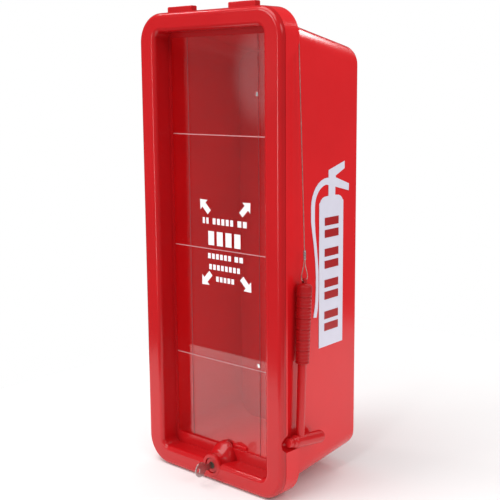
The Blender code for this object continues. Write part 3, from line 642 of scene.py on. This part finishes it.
def cabinet_shell(cabinet):
    """Rim and drafted tub, then the channel, knuckles and holes."""
    rim = BODY_LOW.y, FRONT + RIM_BACK
    piece = rounded_slab("cabinet_shell", rim, cabinet.corner, cabinet.arc_steps)
    inset_to(piece, rim[1], 1, DOOR_HIGH.x - TUB_HALF, 0.2900, -0.2952)
    back_z = (-0.2817, 0.2621)
    draft(piece, -rim[1], TUB_HALF, (-0.2952, 0.2900), TUB_BACK_HALF, back_z)
    inset_to(piece, rim[0], -1, DOOR_HIGH.x - 0.1118, 0.2920, -0.2944)
    draft(piece, -cabinet.wall - rim[0], 0.1118, (-0.2944, 0.2920), TUB_BACK_HALF - cabinet.wall,
          (back_z[0] + cabinet.wall, back_z[1] - cabinet.wall))
    pick(piece, "EDGE", lambda e: all(abs(v.co.y) < 1e-5 for v in e.verts))
    bpy.ops.mesh.bevel(offset=0.005, segments=4, affect="EDGES")
    leave()
    combine(piece, hammer_channel(), "DIFFERENCE")
    combine(piece, nose_socket(), "DIFFERENCE")
    for side in (-1, 1):
        add_knuckle(piece, side * LUG_CENTRE)
    for x in (-0.070, 0.070):
        for z in (-0.200, 0.200):
            combine(piece, add_bar("wall_hole", 0.0035, (x, -0.01, z), (x, 0.01, z), 24), "DIFFERENCE")
    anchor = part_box("tether_anchor")
    x, z = (anchor[0].x + anchor[1].x) / 2, (anchor[0].z + anchor[1].z) / 2
    combine(piece, add_bar("anchor_hole", 0.0016, (x, rim[1] - 0.0085, z), (x, rim[1] + 0.001, z), 20),
            "DIFFERENCE")
    clean(piece)
    ease_edges(piece, 0.0007)
    smooth(piece)
    return piece


def draft(piece, length, half, heights, far_half, far_heights):
    """Pull the selected face along Y and taper it to a half width and heights at the far end."""
    cage = bmesh.from_edit_mesh(piece.data)
    y = next(f for f in cage.faces if f.select).calc_center_median().y
    extrude((0, length, 0))
    resize((far_half / half, 1, (far_heights[1] - far_heights[0]) / (heights[1] - heights[0])),
           (0, y + length, sum(heights) / 2))
    bpy.ops.transform.translate(value=(0, 0, sum(far_heights) / 2 - sum(heights) / 2))


def hammer_channel():
    """Cutter for the channel beside the door: round foot, straight run and a curved run-out at the top."""
    front, back, low, high = 0.0115, 0.0396, -0.2345, 0.262
    outline = [(back, low)]
    for a in range(270, 179, -15):
        outline.append((front + 0.009 + 0.009 * math.cos(math.radians(a)),
                        low + 0.009 + 0.009 * math.sin(math.radians(a))))
    for i in range(13):
        a = math.radians(180 - 62 * i / 12)
        outline.append((front + 0.026 + 0.026 * math.cos(a), high - 0.036 + 0.026 * math.sin(a)))
    outline += [(0.0346, high), (back, high)]
    place = Matrix(((0, 0, 1, 0.1129), (1, 0, 0, FRONT), (0, 1, 0, 0), (0, 0, 0, 1)))
    return add_plate("channel", outline, 0.020, place)


def add_knuckle(piece, centre):
    """Rim's knuckle in its recess, bored for the hinge pin."""
    combine(piece, add_box("recess", (centre - 0.0229, BODY_LOW.y - 0.002, HINGE.z - 0.010),
                           (centre + 0.0229, HINGE.y + 0.0105, HINGE.z + 0.02)), "DIFFERENCE")
    combine(piece, add_box("web", (centre - 0.014, HINGE.y - 0.0028, HINGE.z - 0.0108),
                           (centre + 0.014, HINGE.y + 0.0028, HINGE.z - 0.001)), "UNION")
    combine(piece, add_bar("knuckle", 0.004, (centre - 0.014, HINGE.y, HINGE.z),
                           (centre + 0.014, HINGE.y, HINGE.z), 40), "UNION")
    combine(piece, add_bar("pin_hole", 0.0018, (centre - 0.02, HINGE.y, HINGE.z),
                           (centre + 0.02, HINGE.y, HINGE.z), 24), "DIFFERENCE")


class CABINET_OT_body(bpy.types.Operator):
    """Cabinet body: drafted tub, rim, hammer channel and hinge knuckles"""
    bl_idname = "cabinet.body"
    bl_label = "Body"

    def execute(self, context):
        piece = cabinet_shell(context.scene.cabinet_settings)
        dress(piece, finish_of("body"), "cabinet", "red_plastic", "cabinet_body")
        return {"FINISHED"}


# Break panel and its printed marks

class CABINET_OT_panel(bpy.types.Operator):
    """Break panel with scored lines, and its printed arrows and bars"""
    bl_idname = "cabinet.panel"
    bl_label = "Break panel"

    def execute(self, context):
        settings = context.scene.panel_settings
        piece = add_box("break_pane", PANE_LOW, PANE_HIGH)
        edit(piece)
        pick(piece, "EDGE", lambda e: abs(e.verts[0].co.y - e.verts[1].co.y) > 1e-4)
        bpy.ops.mesh.bevel(offset=0.016, segments=8, affect="EDGES")
        for axis, spots in ((0, (-0.0615, 0.0615)), (2, (0.150, 0.001, -0.149))):
            for spot in spots:
                self.score(piece, axis, spot, settings)
        leave()
        for x in (-0.098, 0.098):
            for z in (-0.225, -0.075, 0.075, 0.225):
                hole = add_bar("hole", 0.0017, (x, PANE_LOW.y - 0.01, z), (x, PANE_HIGH.y + 0.01, z), 16)
                combine(piece, hole, "DIFFERENCE")
        smooth(piece, 12.0)
        dress(piece, finish_of("clear"), "door", "clear_panel", "break_panel")
        piece.data.materials.append(finish_of("scored"))
        piece.data.materials.append(finish_of("shaded_score"))
        # Faces of the horizontal grooves take the pale copy, painted light; faces of the vertical grooves take
        # the dark red copy, painted shade.
        for face in piece.data.polygons:
            if -0.95 < face.normal.y < -0.3:
                face.material_index = 1 if abs(face.normal.z) > 0.2 else 2
        self.marks()
        return {"FINISHED"}

    def score(self, piece, axis, spot, settings):
        """Cut a V-shaped line into the sheet's front."""
        for offset in (-0.5, 0.0, 0.5):
            point, normal = Vector((0, 0, 0)), Vector((0, 0, 0))
            point[axis], normal[axis] = spot + offset * settings.groove, 1.0
            bpy.ops.mesh.select_all(action="SELECT")
            bpy.ops.mesh.bisect(plane_co=point, plane_no=normal)
        shift(piece, lambda v: abs(v.co[axis] - spot) < 1e-6 and v.co.y < PANE_LOW.y + 1e-5,
              (0, settings.groove_depth, 0))

    def marks(self):
        face = PANE_LOW.y - 0.0001
        flat = Matrix(((1, 0, 0, 0), (0, 0, 1, face - 0.0002), (0, 1, 0, 0), (0, 0, 0, 1)))
        pieces = []
        for x, z, turn in ((-0.034, 0.0575, 135), (0.0388, 0.0585, 45), (-0.0325, -0.040, 225),
                           (0.0393, -0.040, 315)):
            a = math.radians(turn)
            arrow = [(0.0116, 0.0), (0.0018, 0.0092), (0.0018, 0.0040), (-0.0116, 0.0040), (-0.0116, -0.0040),
                     (0.0018, -0.0040), (0.0018, -0.0092)]
            outline = [(x + u * math.cos(a) - v * math.sin(a), z + u * math.sin(a) + v * math.cos(a))
                       for u, v in arrow]
            pieces.append(add_plate("arrow", outline, 0.0002, flat))
        rows = [(0.0380, 0.0080, 0.0055, ((-0.0379, -0.0245), (-0.0196, 0.0197), (0.0246, 0.0433))),
                (0.0154, 0.0185, 0.0100, ((-0.0281, 0.0344),)),
                (-0.0084, 0.0070, 0.0047, ((-0.0290, 0.0148), (0.0188, 0.0358))),
                (-0.0229, 0.0070, 0.0047, ((-0.0272, 0.0303),)),
                (-0.0383, 0.0068, 0.0044, ((-0.0148, 0.0197),))]
        for z, height, width, spans in rows:
            for low, high in spans:
                count = max(1, round((high - low) / (width * 1.55)))
                for i in range(count):
                    left = low + (high - low) * i / count
                    right = left + (high - low) / count - width * 0.5
                    outline = [(left, z - height / 2), (right, z - height / 2), (right, z + height / 2),
                               (left, z + height / 2)]
                    pieces.append(add_plate("dash", outline, 0.0002, flat))
        dress(join(pieces, "panel_marks"), finish_of("ink"), "door", "white_vinyl")


# Lock, pins and screws

class CABINET_OT_hardware(bpy.types.Operator):
    """Lock, key, strike, pins, screws and rivets with eased edges"""
    bl_idname = "cabinet.hardware"
    bl_label = "Hardware"

    def execute(self, context):
        rows = [("lock_barrel", "lock_face", "lock", "door", 0.0003),
                ("lock_nut", "lock_hex_nut", "steel", "door", 0.0004),
                ("lock_plug", "lock_core", "core", "lock_plug", 0.0002),
                ("lock_cam", "lock_tongue", "lock", "lock_plug", 0.0004),
                ("cam_screw", "cam_bolt", "steel", "lock_plug", 0.0002),
                ("key", "door_key", "steel", "key", 0.00025),
                ("strike_bracket", "strike_plate", "body", "cabinet", 0.0004)]
        rows += [(f"strike_rivet_{i}", f"strike_stud_{i}", "steel", "cabinet", 0.0002) for i in (1, 2)]
        rows += [(f"panel_screw_{i}", f"seat_screw_{i}", "steel", "door", 0.0002) for i in range(1, 9)]
        rows += [(f"hinge_pin_{side}", f"hinge_rod_{side}", "steel", "cabinet", 0.0003)
                 for side in ("left", "right")]
        for node, name, kind, body, width in rows:
            piece = soft_copy(node, name, width)
            slot = "steel" if kind in ("steel", "core") else "red_plastic"
            dress(piece, finish_of(kind), body, slot, node)
        return {"FINISHED"}


# Hammer

class CABINET_OT_hammer(bpy.types.Operator):
    """Breaker hammer: ribbed grip with its eye, shaft and stepped head"""
    bl_idname = "cabinet.hammer"
    bl_label = "Hammer"

    def execute(self, context):
        settings = context.scene.hammer_settings
        down = Vector((0, -math.sin(settings.tilt), -math.cos(settings.tilt)))
        grip = lathe("hammer_handle", self.grip_rings(), EYE, -down, steps=48)
        combine(grip, add_bar("eye", 0.0019, EYE - Vector((0, 0.02, 0)), EYE + Vector((0, 0.02, 0)), 24),
                "DIFFERENCE")
        smooth(grip, 50.0)
        dress(grip, finish_of("grip"), "hammer", "red_plastic", "hammer_grip")
        drop = settings.head_drop
        shaft = lathe("hammer_rod", [(0.0048, -drop - 0.0035), (0.0055, -drop - 0.003), (0.0055, -0.0300),
                                     (0.0048, -0.0290)], EYE, -down, steps=40)
        smooth(shaft)
        dress(shaft, finish_of("hammer"), "hammer", "red_plastic", "hammer_shaft")
        nose, tail = 0.0230, 0.0425
        rings = [(0.0066, -tail), (0.0075, 0.0008 - tail), (0.0080, 0.0020 - tail), (0.0080, nose - 0.0128),
                 (0.0072, nose - 0.0118), (0.0068, nose - 0.0108), (0.0068, nose - 0.0074),
                 (0.0062, nose - 0.0068), (0.0050, nose - 0.0064), (0.0050, nose - 0.0050),
                 (0.0054, nose - 0.0046), (0.0058, nose - 0.0040), (0.0058, nose - 0.0012),
                 (0.0054, nose - 0.0003), (0.0046, nose)]
        lean = settings.tilt + settings.pitch
        out = Vector((0, -math.cos(lean), math.sin(lean)))
        head = lathe("hammer_striker", rings, EYE + down * drop, out, steps=48)
        smooth(head)
        dress(head, finish_of("hammer"), "hammer", "red_plastic", "hammer_head")
        return {"FINISHED"}

    def grip_rings(self):
        """From the foot up: a rounded foot, fine ribs with a deeper groove at every third, a domed cap and the
        eye's lug."""
        foot, cap, pitch = -0.1035, -0.0075, 0.0045
        rings = [(0.0070, foot), (0.0082, foot + 0.0006), (0.0087, foot + 0.0018)]
        count = int((cap - foot - 0.003) / pitch)
        for i in range(count):
            z = foot + 0.0035 + i * pitch
            radius = 0.0088 + 0.0011 * i / (count - 1)
            deep = 0.0009 if i % 3 == 0 else 0.0004
            rings += [(radius - deep, z), (radius - deep, z + 0.0005), (radius - 0.0001, z + 0.0011),
                      (radius, z + pitch / 2 + 0.0003), (radius - 0.0001, z + pitch - 0.0006)]
        rings += [(0.0099, cap), (0.0095, cap + 0.0020), (0.0084, cap + 0.0034), (0.0066, cap + 0.0042),
                  (0.0040, cap + 0.0047), (0.0032, cap + 0.0052), (0.0032, 0.0024), (0.0029, 0.0034),
                  (0.0021, 0.0040), (0.0010, 0.0042)]
        return rings


# Tether

def smooth_path(route, count):
    """Evenly spaced points on a Catmull-Rom curve through a route."""
    points = [Vector(p) for p in route]
    points = [2 * points[0] - points[1]] + points + [2 * points[-1] - points[-2]]
    fine = []
    for a, b, c, d in zip(points, points[1:], points[2:], points[3:]):
        for i in range(40):
            t = i / 40
            fine.append(0.5 * (2 * b + (c - a) * t + (2 * a - 5 * b + 4 * c - d) * t ** 2
                               + (3 * b - a - 3 * c + d) * t ** 3))
    fine.append(points[-2])
    spans = [0.0]
    for a, b in zip(fine, fine[1:]):
        spans.append(spans[-1] + (b - a).length)
    even, at = [], 0
    for i in range(count):
        goal = spans[-1] * i / (count - 1)
        while at < len(spans) - 2 and spans[at + 1] < goal:
            at += 1
        share = (goal - spans[at]) / (spans[at + 1] - spans[at])
        even.append(fine[at].lerp(fine[at + 1], share))
    return even, spans[-1]


class CABINET_OT_tether(bpy.types.Operator):
    """Tether: wire, crimped ferrule and the loop through the hammer's eye"""
    bl_idname = "cabinet.tether"
    bl_label = "Tether"

    def execute(self, context):
        self.diameter = context.scene.hammer_settings.wire
        anchor = [sum(c) / 2 for c in zip(*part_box("tether_anchor"))]
        start = Vector((anchor[0], FRONT + RIM_BACK, anchor[2]))
        top, end = 0.0135, 0.0015
        foot, bend = Vector((EYE.x, EYE.y, top + 0.0003)), Vector((0.1188, FRONT + 0.0371, 0.2700))
        route = [start, start + Vector((0.0002, 0.0018, -0.0003)), start + Vector((0.0010, 0.0031, -0.0027)),
                 start + Vector((0.0020, 0.0036, -0.0070)), bend]
        route += [bend.lerp(foot, share) for share in (0.2, 0.4, 0.6, 0.8, 1.0)]
        wire, length = self.strand("tether_rope", route, 76)
        dress(wire, finish_of("wire"), "tether", "steel", "tether_wire")
        half, low = 0.0057, EYE.z
        top_of_loop, shoulder = end - 0.0003, low + 0.0057
        side = [(0.0008, top_of_loop), (0.0012, top_of_loop - 0.0025)]
        for share in (0.25, 0.5, 0.75):
            blend = 0.5 - 0.5 * math.cos(math.pi * share)
            side.append((0.0012 + (half - 0.0012) * blend,
                         top_of_loop - 0.0025 + (shoulder - top_of_loop + 0.0025) * share))
        side += [(half * math.cos(math.radians(a)), shoulder - half * math.sin(math.radians(a)))
                 for a in (0, 30, 60)]
        ring = [(EYE.x, EYE.y - w, z) for w, z in side] + [(EYE.x, EYE.y, low)]
        ring += [(EYE.x, EYE.y + w, z) for w, z in reversed(side)]
        loop, _ = self.strand("tether_eye_loop", ring, 60)
        dress(loop, finish_of("wire"), "tether", "steel", "tether_loop")
        ferrule = self.crimp(top, end)
        dress(ferrule, finish_of("crimp"), "tether", "steel", "tether_ferrule")
        stop = soft_copy("tether_anchor", "tether_stop", 0.0002)
        dress(stop, finish_of("steel"), "cabinet", "steel", "tether_anchor")
        return {"FINISHED"}

    def strand(self, name, route, count):
        points, length = smooth_path(route, count)
        curve = bpy.data.curves.new(name, "CURVE")
        curve.dimensions = "3D"
        curve.bevel_depth = self.diameter / 2
        curve.bevel_resolution = 3
        curve.use_fill_caps = True
        line = curve.splines.new("POLY")
        line.points.add(len(points) - 1)
        for point, place in zip(line.points, points):
            point.co = (*place, 1.0)
        line.use_smooth = True
        piece = bpy.data.objects.new(name, curve)
        bpy.context.scene.collection.objects.link(piece)
        return piece, length

    def crimp(self, top, end):
        """Ferrule pressed in three places."""
        rings = [(0.0014, end), (0.0018, end + 0.0004)]
        for i in range(3):
            z = end + 0.0012 + i * (top - end - 0.0024) / 3
            step = (top - end - 0.0024) / 3
            rings += [(0.0020, z), (0.0020, z + step * 0.45), (0.0017, z + step * 0.60),
                      (0.0017, z + step * 0.85)]
        rings += [(0.0020, top - 0.0012), (0.0018, top - 0.0004), (0.0013, top)]
        piece = lathe("tether_crimp", rings, (EYE.x, EYE.y, 0), (0, 0, 1), steps=32)
        smooth(piece, 40.0)
        return piece


# Side decal

class CABINET_OT_decal(bpy.types.Operator):
    """Vinyl pictogram on the tub's side, with its red bars"""
    bl_idname = "cabinet.decal"
    bl_label = "Decal"

    def execute(self, context):
        film = frame["nodes"]["side_decal"]
        film.data.materials.clear()
        film.data.materials.append(finish_of("film"))
        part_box("side_decal")
        slope = math.atan2(TUB_HALF - TUB_BACK_HALF, -FRONT - RIM_BACK)
        along = Vector((-math.sin(slope), math.cos(slope), 0))
        out = Vector((math.cos(slope), math.sin(slope), 0))
        origin = Vector((TUB_HALF, FRONT + RIM_BACK, 0)) + out * 0.0008
        place = Matrix.Translation(origin) @ Matrix(((along.x, 0, out.x, 0), (along.y, 0, out.y, 0),
                                                     (0, 1, 0, 0), (0, 0, 0, 1)))
        pieces = []
        for block in (0.0330, -0.0070, -0.0475, -0.0890):
            for z in (block + 0.0078, block - 0.0078):
                outline = [(0.0662, z - 0.0051), (0.0972, z - 0.0051), (0.0972, z + 0.0051),
                           (0.0662, z + 0.0051)]
                pieces.append(add_plate("decal_bar", outline, 0.0002, place))
        dress(join(pieces, "decal_bars"), finish_of("film_red"), "cabinet", "red_plastic")
        return {"FINISHED"}


# Stage

class CABINET_OT_stage(bpy.types.Operator):
    """Camera, floor, surround and soft lights"""
    bl_idname = "cabinet.stage"
    bl_label = "Stage"

    def execute(self, context):
        self.camera(context.scene.stage_settings)
        self.floor()
        self.surround()
        self.light("overhead", (-0.25, -0.75, 1.75), (0.0, -0.10, 0.0), (1.6, 1.2), 20.0)
        self.light("front_fill", (-1.1, -2.3, 1.25), (0.0, -0.10, -0.05), (1.3, 1.0), 18.0)
        self.light("side_fill", (2.2, -0.2, 1.35), (0.1, -0.10, -0.05), (1.3, 1.0), 10.5)
        self.light("rear_top", (0.25, 1.75, 1.30), (0.1, 0.0, 0.2), (1.5, 0.16), 7.0)
        self.light("glint", (0.45, -1.35, 1.45), (0.1, -0.15, 0.25), (0.14, 0.14), 2.2)
        self.light("sill_glint", (-1.5, -0.5, 1.7), (0.05, -0.16, -0.28), (0.16, 0.16), 2.6)
        self.light("front_strip", (-0.55, -2.3, -0.05), (0.1, -0.15, -0.1), (0.16, 0.9), 5.0)
        self.pale_patch()
        context.scene.view_settings.view_transform = "Standard"
        return {"FINISHED"}

    def camera(self, settings):
        data = bpy.data.cameras.new("studio_camera")
        data.lens, data.sensor_width = settings.lens, 36.0
        rig = bpy.data.objects.new("studio_camera", data)
        bpy.context.scene.collection.objects.link(rig)
        rig.location = (0.8595, FRONT - 0.8646, 0.2137)
        level = math.pi / 2 - settings.elevation
        rig.matrix_world = (Matrix.Translation(rig.location) @ Matrix.Rotation(settings.azimuth, 4, "Z")
                            @ Matrix.Rotation(level, 4, "X") @ Matrix.Rotation(settings.roll, 4, "Z"))
        bpy.context.scene.camera = rig

    def floor(self):
        begin()
        bpy.ops.mesh.primitive_plane_add(size=1.0, location=(0.06, 0.06, DOOR_LOW.z - 0.0005))
        floor = bpy.context.object
        floor.scale = (1.22, 1.28, 1.0)
        settle(floor, "studio_floor")
        finish = Finish("pale_floor")
        finish.tint(finish.ramp(finish.noise(3.0, 2.0), 0.0, 1.0), (0.88, 0.88, 0.88), (0.90, 0.90, 0.90))
        finish.shader.inputs["Roughness"].default_value = 0.75
        floor.data.materials.append(finish.material)

    def surround(self):
        """Pale to look at, dimmer as a source of light, in reflections and through the panel."""
        world = bpy.data.worlds.new("studio_surround")
        bpy.context.scene.world = world
        world.use_nodes = True
        tree = world.node_tree
        back = tree.nodes["Background"]
        back.inputs["Color"].default_value = (1.0, 1.0, 1.0, 1.0)
        rays = tree.nodes.new("ShaderNodeLightPath")
        strength = None
        for ray, gain in (("Is Camera Ray", 0.88), ("Is Transmission Ray", 0.20), ("Is Diffuse Ray", 0.55)):
            step = tree.nodes.new("ShaderNodeMath")
            step.operation = "MULTIPLY_ADD"
            step.inputs[1].default_value = gain
            step.inputs[2].default_value = 0.12
            tree.links.new(rays.outputs[ray], step.inputs[0])
            if strength:
                tree.links.new(strength, step.inputs[2])
            strength = step.outputs["Value"]
        tree.links.new(strength, back.inputs["Strength"])

    def pale_patch(self):
        """Dim lamp with a soft edge, seen only as a pale shape in the panel."""
        lamp = self.light("pale_patch", (-0.963, -1.295, 0.24), (0.04, -0.15, 0.22), (0.17, 0.34), 0.11)
        lamp.data.use_nodes = True
        tree = lamp.data.node_tree
        place = tree.nodes.new("ShaderNodeNewGeometry").outputs["Parametric"]
        middle = tree.nodes.new("ShaderNodeVectorMath")
        middle.operation = "DISTANCE"
        middle.inputs[1].default_value = (0.5, 0.5, 0.0)
        fade = tree.nodes.new("ShaderNodeMapRange")
        fade.interpolation_type = "SMOOTHSTEP"
        for key, value in (("From Min", 0.20), ("From Max", 0.50), ("To Min", 1.0), ("To Max", 0.0)):
            fade.inputs[key].default_value = value
        tree.links.new(place, middle.inputs[0])
        tree.links.new(middle.outputs["Value"], fade.inputs["Value"])
        tree.links.new(fade.outputs["Result"], tree.nodes["Emission"].inputs["Strength"])

    def light(self, name, place, target, size, power):
        data = bpy.data.lights.new(name, "AREA")
        data.shape, data.size, data.size_y, data.energy = "RECTANGLE", size[0], size[1], power
        lamp = bpy.data.objects.new(name, data)
        bpy.context.scene.collection.objects.link(lamp)
        lamp.location = place
        lamp.rotation_euler = (Vector(target) - Vector(place)).to_track_quat("-Z", "Y").to_euler()
        return lamp


class CABINET_PT_build(bpy.types.Panel):
    bl_label = "Extinguisher Cabinet"
    bl_space_type = "VIEW_3D"
    bl_region_type = "UI"
    bl_category = "Cabinet"

    def draw(self, context):
        for step in STEPS:
            self.layout.operator(step.bl_idname)
        for group in GROUPS:
            settings = getattr(context.scene, group)
            for name in settings.__annotations__:
                self.layout.prop(settings, name)


STEPS = (CABINET_OT_stage, CABINET_OT_tether, CABINET_OT_body, CABINET_OT_door, CABINET_OT_panel,
         CABINET_OT_hardware, CABINET_OT_hammer, CABINET_OT_decal)
GROUPS = {"cabinet_settings": CabinetSettings, "panel_settings": PanelSettings,
          "hammer_settings": HammerSettings, "stage_settings": StageSettings}


def register():
    for kind in (*GROUPS.values(), *STEPS, CABINET_PT_build):
        bpy.utils.register_class(kind)
    for name, kind in GROUPS.items():
        setattr(bpy.types.Scene, name, PointerProperty(type=kind))


def unregister():
    for name in GROUPS:
        delattr(bpy.types.Scene, name)
    for kind in reversed((*GROUPS.values(), *STEPS, CABINET_PT_build)):
        bpy.utils.unregister_class(kind)


def main():
    register()
    for step in STEPS:
        group, name = step.bl_idname.split(".")
        getattr(getattr(bpy.ops, group), name)()
    begin()


if __name__ == "__main__":
    main()
